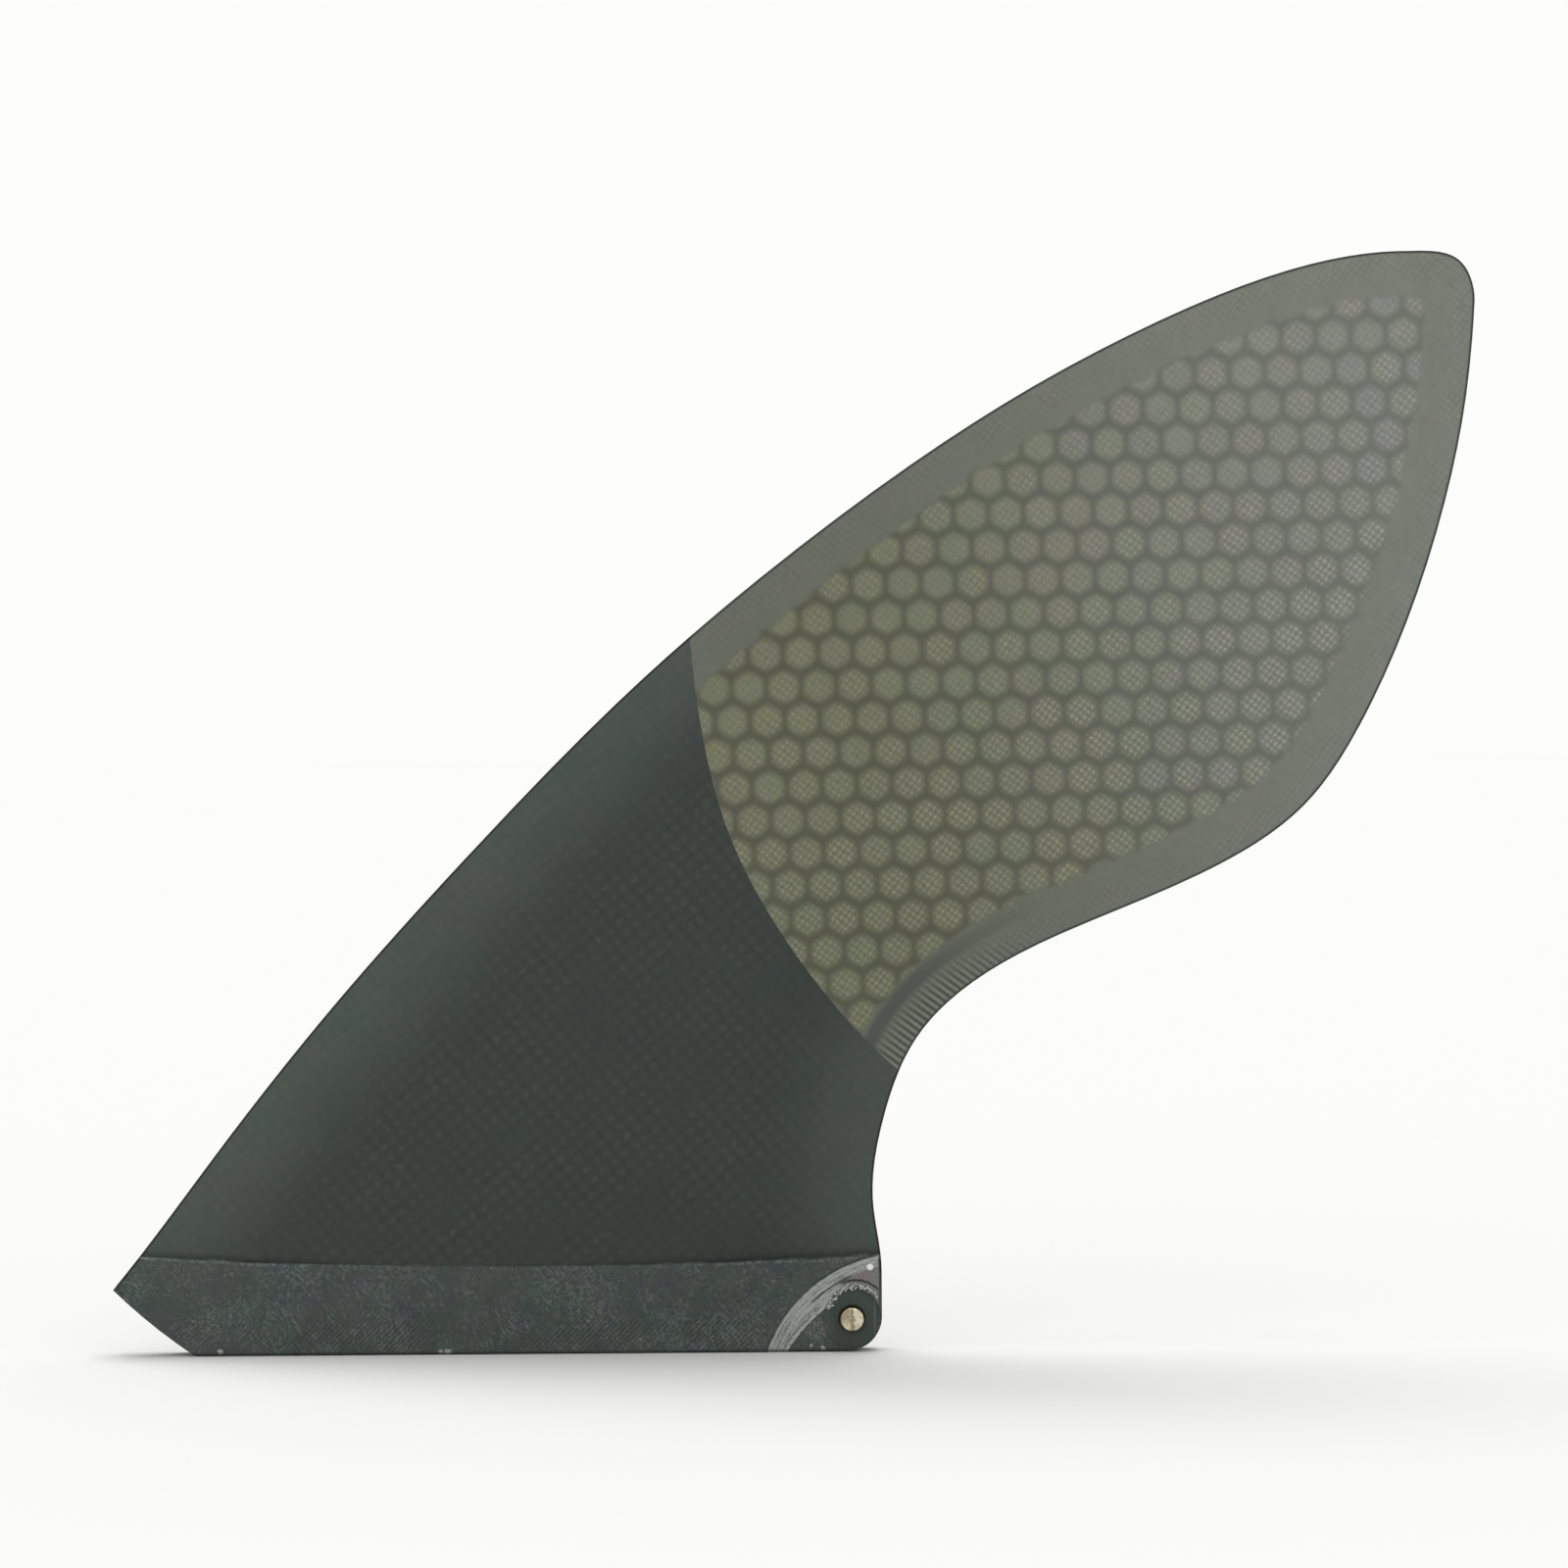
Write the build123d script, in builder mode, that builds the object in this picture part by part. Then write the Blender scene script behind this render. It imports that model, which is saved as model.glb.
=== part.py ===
from build123d import *
import math
import os

# Raked longboard centre fin: a dark laminate root with a box tab, a glass blade over a
# honeycomb sheet, and a brass pin across the heel of the tab.
# Millimetres. X runs aft, Y across, Z up from the foot of the tab. Seen from the nose, the
# left side of the blade is at +Y.
# The origin is the middle of the tab's flat foot, on the plane of symmetry.

# Box tab
tab_thickness = 9.3
tab_height = 25.0
tab_dip = 3.2
foot_length = 172.0
nose_reach = 20.0
nose_height = 16.5
nose_hollow = 0.6
heel_radius = 8.5
heel_height = 20.0

# Blade outline
blade_depth = 248.2
blade_overhang = 149.1
tip_run = 17.6
tip_drop = 12.2
tip_corner_run = 3.9
tip_corner_drop = 2.3

# Foil section
root_thickness = 8.9
edge_thickness = 1.3
foil_margin = 3.0
foil_sink = 6.0
thinning_power = 2.2
thinning_share = 0.7
station_count = 18
station_bias = 1.4

# Honeycomb sheet
core_thickness = 1.2
core_rim = 10.8
core_lap = 8.0
lap_angle = 37.0
core_clearance = 0.02
outline_steps = 16
border_steps = 200
cell_width = 7.2
cell_pitch = 8.7
row_pitch = 8.29
row_tilt = 1.37
least_cut = 1.8
lattice_x = 131.8
lattice_z = 184.2

# Cross pin and the ground relief about it
pin_diameter = 5.85
pin_length = 13.5
grip_diameter = 6.7
pin_chamfer = 0.3
pin_inset = 7.5
pin_height = 8.0
pin_clearance = 0.03
boss_radius = 7.4
boss_depth = 0.7
relief_radius = 36.7
relief_aft = 6.0
relief_drop = 12.5
relief_depth = 0.35

# Leading edge from nose to top: share of the reach, share of the blade depth
leading_shape = [
    (0.080, 0.101),
    (0.176, 0.256),
    (0.286, 0.413),
    (0.406, 0.569),
    (0.551, 0.725),
    (0.705, 0.860),
    (0.822, 0.938),
    (0.915, 0.983),
]

# Trailing edge from heel to tip: share of the overhang, share of the blade depth
trailing_shape = [
    (-0.013, 0.044),
    (0.006, 0.135),
    (0.062, 0.214),
    (0.178, 0.278),
    (0.355, 0.330),
    (0.570, 0.386),
    (0.714, 0.446),
    (0.805, 0.524),
    (0.882, 0.624),
    (0.944, 0.737),
    (0.981, 0.838),
]

# Edge of the dark plies, from the leading edge down to the neck, in the same shares
ply_edge_shape = [
    (-0.316, 0.641),
    (-0.297, 0.534),
    (-0.245, 0.413),
    (-0.161, 0.318),
    (-0.036, 0.220),
    (0.055, 0.168),
]

# One side of the foil as curve poles: share of the chord, share of the rise
foil_poles = [(0, 0), (0.05, 0.30), (0.18, 1.05), (0.42, 1.60), (0.75, 0.55), (1, 0)]

nose_x = -foot_length / 2 - nose_reach
heel_x = foot_length / 2
rear_x = heel_x + blade_overhang
top_x = rear_x - tip_run
top_z = tab_height + blade_depth
rear_z = top_z - tip_drop
pin_x = heel_x - pin_inset


def leading_point(reach_share, depth_share):
    """A point of the leading edge, from its shares."""
    return nose_x + reach_share * (top_x - nose_x), tab_height + depth_share * blade_depth


def trailing_point(overhang_share, depth_share):
    """A point aft of the heel, from its shares."""
    return heel_x + overhang_share * blade_overhang, tab_height + depth_share * blade_depth


leading_points = [(nose_x, nose_height)]
leading_points += [leading_point(*shares) for shares in leading_shape]
leading_points += [(top_x, top_z)]
trailing_points = [(heel_x, heel_height)]
trailing_points += [trailing_point(*shares) for shares in trailing_shape]
trailing_points += [(rear_x, rear_z)]


# Silhouette of tab and blade, seen from the right side
with BuildSketch(Plane.XZ) as silhouette:
    with BuildLine():
        leading_edge = Spline(
            *leading_points, tangents=[(0.64, 0.77), (1, 0)], tangent_scalars=[1, 1]
        )
        tip = Spline(
            (top_x, top_z),
            (rear_x - tip_corner_run, top_z - tip_corner_drop),
            (rear_x, rear_z),
            tangents=[(1, 0), (0, -1)],
            tangent_scalars=[1, 1],
        )
        trailing_edge = Spline(
            *trailing_points, tangents=[(0, 1), (0.05, 1)], tangent_scalars=[1, 1]
        )
        Line((heel_x, heel_height), (heel_x, heel_radius))
        RadiusArc((heel_x, heel_radius), (heel_x - heel_radius, 0), heel_radius)
        Line((heel_x - heel_radius, 0), (-foot_length / 2, 0))
        SagittaArc((-foot_length / 2, 0), (nose_x, nose_height), nose_hollow)
    make_face()


# Side of the box tab, under the shallow curve of its ground top
tab_reach = foil_margin - nose_x
with BuildSketch(Plane.XZ) as tab_side:
    with BuildLine():
        tab_top = SagittaArc((-tab_reach, tab_height), (tab_reach, tab_height), -tab_dip)
        Polyline(tab_top @ 1, (tab_reach, -foil_margin), (-tab_reach, -foil_margin), tab_top @ 0)
    make_face()


def crossing(edge, height):
    """The X at which an edge of the outline, which only climbs, passes a height."""
    low, high = 0.0, 1.0
    for _ in range(40):
        middle = (low + high) / 2
        if edge.position_at(middle).Y < height:
            low = middle
        else:
            high = middle
    return edge.position_at(low).X


def foil_thickness(height):
    """Greatest thickness of the foil at a height, falling to the edge's at the top."""
    climb = min(max((height - tab_height) / blade_depth, 0.0), 1.0)
    return edge_thickness + (root_thickness - edge_thickness) * (
        1 - climb**thinning_power
    ) ** thinning_share


def above_plies(shift, plane):
    """Region aft of and above the edge of the dark plies, moved under them by a shift."""
    points = [trailing_point(*shares) for shares in ply_edge_shape]
    lap_x = shift * math.cos(math.radians(lap_angle))
    lap_z = shift * math.sin(math.radians(lap_angle))
    points = [(x - lap_x, z - lap_z) for x, z in points]
    far_corners = [(points[0][0], 2 * top_z), (2 * rear_x, 2 * top_z), (2 * rear_x, points[-1][1])]
    with BuildSketch(plane) as region:
        with BuildLine():
            Spline(*points)
            Polyline(points[0], *far_corners, points[-1])
        make_face()
    return region.sketch


def inset(edge, amount):
    """Points along an edge of the outline, moved square to it by an amount."""
    points = []
    for step in range(outline_steps + 1):
        point = edge.position_at(step / outline_steps)
        tangent = edge.tangent_at(step / outline_steps)
        points.append((point.X + amount * tangent.Y, point.Y - amount * tangent.X))
    return points


def core_outline(plane, growth):
    """Trimmed outline of the honeycomb sheet: a rim inside the blade, lapping under the plies."""
    rim = core_rim - growth
    front_points = inset(leading_edge, rim)
    aft_points = inset(trailing_edge, -rim)
    with BuildSketch(plane) as outline:
        with BuildLine():
            Spline(*front_points)
            Polyline(front_points[-1], (2 * rear_x, front_points[-1][1]), (2 * rear_x, 0))
            Polyline((2 * rear_x, 0), (front_points[0][0], 0), front_points[0])
        make_face()
        with BuildSketch(mode=Mode.INTERSECT):
            with BuildLine():
                Spline(*aft_points)
                Polyline(aft_points[-1], (aft_points[-1][0], 2 * top_z), (nose_x, 2 * top_z))
                Polyline((nose_x, 2 * top_z), (nose_x, aft_points[0][1]), aft_points[0])
            make_face()
        add(above_plies(core_lap + growth, Plane.XY), mode=Mode.INTERSECT)
    return outline.sketch


def cell_centres():
    """Centres of the lattice's cells that lie within the silhouette of the blade."""
    lowest_z = trailing_point(*ply_edge_shape[-1])[1] - core_lap
    columns = math.ceil(blade_overhang / cell_pitch)
    rows = math.ceil(blade_depth / row_pitch / 2)
    tilt = math.radians(row_tilt)
    centres = []
    for row in range(-rows, rows + 1):
        for column in range(-columns, columns + 1):
            along = (column + 0.5 * (row % 2)) * cell_pitch
            across = row * row_pitch
            x = lattice_x + along * math.cos(tilt) - across * math.sin(tilt)
            z = lattice_z + along * math.sin(tilt) + across * math.cos(tilt)
            if lowest_z < z < top_z and crossing(leading_edge, z) < x < crossing(trailing_edge, z):
                centres.append((x, z))
    return centres


# Foil: horizontal sections lofted past the silhouette all round, then trimmed to it
station_span = blade_depth + foil_sink + foil_margin
with BuildPart() as foil:
    for station in range(station_count):
        share = 1 - (1 - station / (station_count - 1)) ** station_bias
        height = tab_height - foil_sink + share * station_span
        front_x = crossing(leading_edge, height - foil_margin / 2) - foil_margin / 2
        aft_x = crossing(trailing_edge, height) + foil_margin
        rise = (foil_thickness(height) - edge_thickness) / 2
        side = [
            (front_x + chord_share * (aft_x - front_x), edge_thickness / 2 + rise_share * rise)
            for chord_share, rise_share in foil_poles
        ]
        with BuildSketch(Plane.XY.offset(height)):
            with BuildLine():
                Bezier(*side)
                Bezier(*[(x, -y) for x, y in side])
                Line((front_x, -edge_thickness / 2), (front_x, edge_thickness / 2))
                Line((aft_x, -edge_thickness / 2), (aft_x, edge_thickness / 2))
            make_face()
    loft()
    extrude(silhouette.sketch, amount=tab_thickness, both=True, mode=Mode.INTERSECT)

glass_region = above_plies(0, Plane.XZ)
core_sheet = core_outline(Plane.XY, 0)
core_pocket = core_outline(Plane.XZ, core_clearance)
pocket_thickness = core_thickness + 2 * core_clearance
hole_radius = grip_diameter / 2 + pin_clearance

# Dark root: box tab, lower blade, core pocket, pin hole and the ground relief
with BuildPart() as root:
    extrude(tab_side.sketch, amount=tab_thickness / 2, both=True)
    extrude(silhouette.sketch, amount=tab_thickness, both=True, mode=Mode.INTERSECT)
    add(foil.part)
    extrude(glass_region, amount=tab_thickness, both=True, mode=Mode.SUBTRACT)
    extrude(core_pocket, amount=pocket_thickness / 2, both=True, mode=Mode.SUBTRACT)
    for way in (-1, 1):
        with BuildSketch(Plane.XZ.offset(way * tab_thickness / 2)):
            with Locations((heel_x + relief_aft, -relief_drop)):
                Circle(relief_radius)
        extrude(amount=-way * relief_depth, mode=Mode.SUBTRACT)
        with BuildSketch(Plane.XZ.offset(way * tab_thickness / 2)):
            with Locations((pin_x, pin_height)):
                Circle(boss_radius)
        extrude(amount=-way * boss_depth, mode=Mode.SUBTRACT)
    with BuildSketch(Plane.XZ):
        with Locations((pin_x, pin_height)):
            Circle(hole_radius)
    extrude(amount=tab_thickness, both=True, mode=Mode.SUBTRACT)

# Glass skins: the upper blade, hollowed for the core and parted on the plane of symmetry
with BuildPart() as glass_blade:
    add(foil.part)
    extrude(glass_region, amount=tab_thickness, both=True, mode=Mode.INTERSECT)
    extrude(core_pocket, amount=pocket_thickness / 2, both=True, mode=Mode.SUBTRACT)

with BuildPart() as skin_left:
    add(glass_blade.part)
    split(bisect_by=Plane.XZ, keep=Keep.BOTTOM)

with BuildPart() as skin_right:
    add(glass_blade.part)
    split(bisect_by=Plane.XZ, keep=Keep.TOP)

# Honeycomb core: a thin sheet, trimmed to its outline and pierced by the cells. Cells that
# the outline cuts are taken off its edge first, and whole cells then become its holes.
border = []
for edge in core_sheet.edges():
    for step in range(border_steps + 1):
        point = edge.position_at(step / border_steps)
        border.append((point.X, point.Y))
cell_corner = cell_width / math.sqrt(3)
cell_turn = 30 + row_tilt
cut_cells = []
whole_cells = []
for centre in cell_centres():
    inside = core_sheet.face().is_inside(Vector(*centre))
    nearest = min(math.dist(centre, point) for point in border)
    if inside and nearest > cell_corner:
        whole_cells.append(centre)
    elif inside or nearest < least_cut:
        cut_cells.append(centre)
with BuildSketch() as trimmed_sheet:
    add(core_sheet)
    with Locations(*cut_cells):
        RegularPolygon(cell_width / 2, 6, major_radius=False, rotation=cell_turn, mode=Mode.SUBTRACT)
with BuildSketch() as cells:
    with Locations(*whole_cells):
        RegularPolygon(cell_width / 2, 6, major_radius=False, rotation=cell_turn)
sheet_face = trimmed_sheet.faces().sort_by(SortBy.AREA)[-1]
cell_wires = sheet_face.inner_wires() + [cell.outer_wire() for cell in cells.faces()]
with BuildPart() as core:
    with BuildSketch(Plane.XZ.offset(-core_thickness / 2)):
        add(Face(sheet_face.outer_wire(), cell_wires))
    extrude(amount=core_thickness, clean=False)

# Brass cross pin: a grip in the tab, and a thinner end proud of it on each side
with BuildPart() as pin:
    with BuildSketch(Plane.XZ):
        with Locations((pin_x, pin_height)):
            Circle(pin_diameter / 2)
    extrude(amount=pin_length / 2, both=True)
    chamfer(pin.edges().filter_by(GeomType.CIRCLE), pin_chamfer)
    with BuildSketch(Plane.XZ):
        with Locations((pin_x, pin_height)):
            Circle(grip_diameter / 2)
    extrude(amount=tab_thickness / 2 - boss_depth, both=True)

os.makedirs("parts", exist_ok=True)
root.part.label = "root_blade"
export_step(root.part, "parts/root_blade.step")
skin_left.part.label = "glass_skin_left"
export_step(skin_left.part, "parts/glass_skin_left.step")
skin_right.part.label = "glass_skin_right"
export_step(skin_right.part, "parts/glass_skin_right.step")
core.part.label = "honeycomb_core"
export_step(core.part, "parts/honeycomb_core.step")
pin.part.label = "cross_pin"
export_step(pin.part, "parts/cross_pin.step")
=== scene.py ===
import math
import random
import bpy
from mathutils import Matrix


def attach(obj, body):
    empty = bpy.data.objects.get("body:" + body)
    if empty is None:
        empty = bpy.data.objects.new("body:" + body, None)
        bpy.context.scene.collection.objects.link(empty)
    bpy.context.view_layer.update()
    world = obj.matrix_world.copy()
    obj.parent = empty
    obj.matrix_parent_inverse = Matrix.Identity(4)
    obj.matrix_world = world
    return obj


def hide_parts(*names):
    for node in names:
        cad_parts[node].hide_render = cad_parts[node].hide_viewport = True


bl_info = {
    "name": "Longboard Centre Fin Looks",
    "version": (1, 0, 0),
    "blender": (4, 5, 0),
    "location": "View3D > Sidebar > Fin",
    "description": "Dresses a raked centre fin in glass over honeycomb, dark plies and worn brass",
    "category": "Object",
}

from types import SimpleNamespace

import bpy
import numpy as np
from mathutils import Color, Matrix, Vector

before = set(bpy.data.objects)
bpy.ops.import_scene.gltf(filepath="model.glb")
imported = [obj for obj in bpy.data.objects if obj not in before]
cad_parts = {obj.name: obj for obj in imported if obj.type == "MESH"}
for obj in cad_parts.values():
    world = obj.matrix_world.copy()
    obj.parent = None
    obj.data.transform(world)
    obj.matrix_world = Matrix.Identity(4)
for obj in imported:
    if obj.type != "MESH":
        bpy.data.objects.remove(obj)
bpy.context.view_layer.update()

SQUARE = (1, 0, 1)  # keeps a position's share in the plane of the blade
GREY = (0.5, 0.5, 0.5)  # the middle of a noise colour
WHITE = (1, 1, 1)  # a tint that changes nothing
GRID_PITCH = 0.005  # metres between the cuts whose corners carry the distances to the outline

# Sanding of the tab: turn in degrees, a scratch's length and width in millimetres, share covered
SANDING = (
    (50, 1.7, 0.46, 0.62),
    (-42, 1.3, 0.44, 0.58),
    (10, 1.2, 0.46, 0.54),
    (84, 1.0, 0.46, 0.54),
)

# Chips along the foot: X, Z and reach in millimetres
CHIPS = (
    (-79.4, 0.9, 0.9),
    (-22.5, 0.4, 1.2),
    (-24.3, 0.5, 0.8),
    (71.2, 0.8, 0.8),
    (68.2, 1.4, 0.6),
)


# ---------------- settings


def length(name, description, default):
    """A length property, in metres."""
    return bpy.props.FloatProperty(
        name=name, description=description, default=default, unit="LENGTH", precision=5
    )


def angle(name, description, degrees):
    """An angle property, given in degrees."""
    return bpy.props.FloatProperty(
        name=name, description=description, default=math.radians(degrees), subtype="ANGLE"
    )


def colour(name, description, red, green, blue):
    """A colour property, given as the eye sees it on the real piece, from 0 to 255."""
    return bpy.props.FloatVectorProperty(
        name=name,
        description=description,
        default=(red / 255, green / 255, blue / 255),
        subtype="COLOR_GAMMA",
        size=3,
        min=0,
        max=1,
    )


class FinGlassSettings(bpy.types.PropertyGroup):
    """Sizes and colours of the glass blade over the honeycomb sheet."""

    lattice_x: length("Lattice X", "Place of one cell's centre, aft of the origin", 0.1318)
    lattice_z: length("Lattice Z", "Height of that cell's centre", 0.1842)
    lattice_tilt: angle("Lattice Tilt", "Climb of the rows of cells, going aft", 1.37)
    cell_width: length("Cell Width", "Width of the light patch in each cell", 0.0072)
    cell_pitch: length("Cell Pitch", "Distance between neighbours in a row", 0.0087)
    row_pitch: length("Row Pitch", "Distance between rows", 0.00829)
    cell_blur: length("Cell Blur", "Softness of the cells' edges under the glass", 0.00115)
    rim_width: length("Rim Width", "Solid glass between the outline and the sheet", 0.0107)
    rim_drift: length("Rim Drift", "How far the sheet's border wanders", 0.0030)
    rim_gain: length("Rim Gain", "Extra width of the rim along the trailing edge", 0.0012)
    neck_low: length("Neck Low", "Height up to which the ribs at the neck are full", 0.088)
    neck_high: length("Neck High", "Height at which those ribs are gone", 0.108)
    groove_in: length("Groove In", "Distance of the neck's dark band from the outline", 0.0096)
    cloth_warp: length("Cloth Warp", "Distance between threads that run to the tip", 0.00141)
    cloth_weft: length("Cloth Weft", "Distance between the threads that cross them", 0.00162)
    cloth_turn: angle("Cloth Turn", "Lean of the cloth", 36.5)
    cell_colour: colour("Cells", "Colour over the open cells", 110, 112, 91)
    web_colour: colour("Web", "Colour over the web between cells", 80, 82, 66)
    rim_colour: colour("Rim", "Colour of the solid glass near the outline", 98, 101, 91)
    tip_cell_colour: colour("Tip Cells", "Colour over the cells near the tip", 128, 131, 123)
    tip_web_colour: colour("Tip Web", "Colour over the web near the tip", 106, 110, 102)
    tip_rim_colour: colour("Tip Rim", "Colour of the solid glass near the tip", 117, 121, 111)
    groove_colour: colour("Groove", "Colour of the dark band at the neck", 64, 75, 68)
    # The thin dark line along the edge is painted shade where the rounded edge turns away from the
    # light
    edge_shade_colour: colour("Outline", "Colour of the thin dark line along the edge", 50, 54, 50)


class FinRootSettings(bpy.types.PropertyGroup):
    """Sizes and colours of the dark root and its tab."""

    cloth_warp: length("Cloth Warp", "Distance between the coarse cloth's tows", 0.00303)
    cloth_weft: length("Cloth Weft", "Distance between the tows that cross them", 0.00325)
    cloth_turn: angle("Cloth Turn", "Lean of the cloth", 51)
    # The lighter band is a painted sheen where the curved foil near the edges turns toward the
    # light
    edge_sheen_width: length("Band Width", "Width of the lighter band along the edges", 0.030)
    tab_height: length("Tab Height", "Height of the ground area at its ends", 0.0252)
    tab_dip: length("Tab Dip", "Dip of the ground area's top in the middle", 0.0034)
    tab_reach: length("Tab Reach", "Distance from the middle of the dip to its ends", 0.109)
    hatch_pitch: length("Hatch Pitch", "Distance between strokes low on the tab", 0.00146)
    ply_colour: colour("Plies", "Colour of the dark plies", 47, 54, 50)
    # Along the edges this colour is a painted sheen; on the relief's floor it is a paler tone of
    # the plies
    sheen_and_floor_colour: colour("Band", "Colour of the plies near the edges", 67, 75, 69)
    ground_colour: colour("Ground Tab", "Colour of the ground tab", 63, 70, 67)
    scratch_colour: colour("Scratches", "Colour of the sanding scratches", 112, 122, 118)
    chip_colour: colour("Chips", "Colour of the chips along the foot", 158, 158, 153)
    # The thin dark line along the edge is painted shade where the rounded edge turns away from the
    # light
    edge_shade_colour: colour("Outline", "Colour of the thin dark line along the edge", 20, 24, 24)


class FinHeelSettings(bpy.types.PropertyGroup):
    """Sizes and colours of the relief at the heel, its torn plies and the drop of resin."""

    outer_x: length("Outer X", "Centre of the arc that bounds the relief", 0.092)
    outer_z: length("Outer Z", "Height of that centre", -0.0125)
    outer_radius: length("Outer Radius", "Radius of that arc", 0.0367)
    inner_x: length("Inner X", "Centre of the arc under the open plies", 0.0975)
    inner_z: length("Inner Z", "Height of that centre", -0.0221)
    inner_radius: length("Inner Radius", "Radius of that arc", 0.0418)
    torn_x: length("Torn X", "Centre of the arch of torn plies", 0.0794)
    torn_z: length("Torn Z", "Height of that centre", 0.0094)
    torn_radius: length("Torn Radius", "Radius of the torn edge", 0.0067)
    torn_out: length("Torn Out", "Distance of the flakes from the middle plane", 0.00422)
    patch_x: length("Patch X", "Centre of the brown patch on the relief's floor", 0.0696)
    patch_z: length("Patch Z", "Height of that centre", 0.0052)
    patch_radius: length("Patch Radius", "Radius of the patch", 0.0036)
    drop_x: length("Drop X", "Place of the drop of resin", 0.0831)
    drop_z: length("Drop Z", "Height of the drop", 0.0209)
    drop_out: length("Drop Out", "Distance of the drop from the middle plane", 0.0043)
    drop_radius: length("Drop Radius", "Radius of the drop", 0.00085)
    exposed_colour: colour("Exposed Plies", "Colour of the plies ground open", 146, 152, 147)
    mauve_colour: colour("Mauve Plies", "Colour of the open plies aft", 120, 116, 115)
    patch_colour: colour("Patch", "Colour of the brown patch", 112, 107, 105)
    torn_colour: colour("Torn Plies", "Colour of the torn glass fibres", 204, 208, 202)
    drop_colour: colour("Resin Drop", "Colour of the drop of resin", 244, 244, 240)


class FinPinSettings(bpy.types.PropertyGroup):
    """Place and colours of the cross pin."""

    pin_x: length("Pin X", "Place of the pin", 0.0785)
    pin_z: length("Pin Z", "Height of the pin", 0.008)
    # The dark ring round the pin is painted shade in the gap between the pin and its hole
    gap_shade_radius: length("Gap Radius", "Radius of the dark ring round the pin", 0.0035)
    brass_colour: colour("Brass", "Colour of the clean brass", 226, 220, 194)
    stain_colour: colour("Stain", "Colour of the stain across the end", 124, 104, 70)
    gap_shade_colour: colour("Gap", "Colour of the ring round the pin", 36, 36, 28)
    # Painted shade on the pin where it sits inside its hole, darker inside and paler at the wall
    hollow_shade_colour: colour("Hollow", "Colour of the pin's grip inside the gap", 29, 29, 25)
    hole_wall_shade_colour: colour("Hole", "Colour of the grip at the wall of its hole", 56, 60, 56)


class FinStageSettings(bpy.types.PropertyGroup):
    """Floor, light and camera."""

    sky_colour: colour("Sky", "Colour of the even light all round", 253, 253, 252)
    floor_colour: colour("Floor", "Colour of the pale floor itself", 198, 198, 197)
    high_light: bpy.props.FloatProperty(
        name="High Light",
        description="Strength of the soft light above and behind",
        default=2.4,
        min=0,
    )
    high_climb: angle("High Light Climb", "Height of that light as an angle", 75)
    high_spread: angle("High Light Spread", "Width of that light as an angle", 50)
    view_distance: length("View Distance", "Distance of the camera from the blade", 1.952)
    view_width: length("View Width", "Width of the picture at the blade", 0.3904)
    view_x: length("View X", "Point in the middle of the picture", 0.06250)
    view_z: length("View Z", "Height of that point", 0.14185)
    view_climb: angle("View Climb", "Camera's height as an angle", 3)
    view_roll: angle("View Roll", "Camera's lean", -0.423)


class FinLooks(bpy.types.PropertyGroup):
    """All settings of the fin."""

    glass: bpy.props.PointerProperty(type=FinGlassSettings)
    root: bpy.props.PointerProperty(type=FinRootSettings)
    heel: bpy.props.PointerProperty(type=FinHeelSettings)
    pin: bpy.props.PointerProperty(type=FinPinSettings)
    stage: bpy.props.PointerProperty(type=FinStageSettings)


# ---------------- node trees


def linear(value, strength=1.0):
    """A colour as the eye sees it, as the shader's light values."""
    seen = Color(value).from_srgb_to_scene_linear()
    return (seen.r * strength, seen.g * strength, seen.b * strength, 1.0)


def grey(level):
    """A grey from 0 to 255 as the eye sees it, as the shader's light values."""
    return linear((level / 255,) * 3)


def mm(value):
    """Metres as millimetres."""
    return value * 1000


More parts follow.
